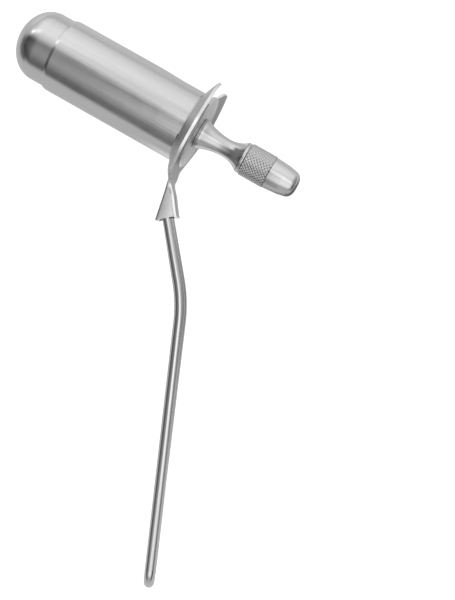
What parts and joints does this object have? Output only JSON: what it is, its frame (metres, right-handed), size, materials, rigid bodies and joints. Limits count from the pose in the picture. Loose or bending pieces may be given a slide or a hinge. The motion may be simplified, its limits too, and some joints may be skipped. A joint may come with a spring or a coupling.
{
  "type": "anoscope",
  "caption": "Short steel viewing tube with a dished C-shaped flange and a wire loop handle, and a dome-nosed obturator with a knurled grip that slides out of it.",
  "frame": {"origin": "on the tube's axis, where the flange meets the tube", "axes": "+X along the tube towards the knob, the handle hangs towards -Y, +Z is square to the plane of symmetry, and up when the instrument lies on its side"},
  "size_m": [0.1539, 0.1862, 0.0464],
  "materials": {
    "tube_steel": "satin, brushed along the tube",
    "flange_steel": "satin",
    "solder": "smooth silver solder",
    "socket_steel": "satin",
    "rod_steel": "drawn and polished lengthwise",
    "nose_steel": "smooth satin",
    "turned_steel": "turned",
    "disc_steel": "turned face, bright edge",
    "stem_steel": "turned and polished",
    "grip_steel": "diamond knurl, plain polished tip"
  },
  "bodies": {
    "speculum": {"speculum_tube": "tube_steel", "flange": "flange_steel", "tube_solder": "solder", "socket_shell": "socket_steel", "handle_loop": "rod_steel", "rod_solder": "solder"},
    "slider": {"stem_collar": "turned_steel"},
    "obturator": {"obturator_nose": "nose_steel", "nose_plug": "turned_steel", "obturator_shaft": "turned_steel", "stop_disc": "disc_steel", "grip_stem": "stem_steel", "knurled_grip": "grip_steel"}
  },
  "joints": [
    {"name": "obturator_slide", "type": "slide", "parent": "speculum", "child": "slider", "axis": [1, 0, 0], "range_m": [0, 0.085]},
    {"name": "obturator_turn", "type": "hinge", "parent": "slider", "child": "obturator", "pos_m": [0, 0, 0], "axis": [1, 0, 0], "continuous": true}
  ]
}
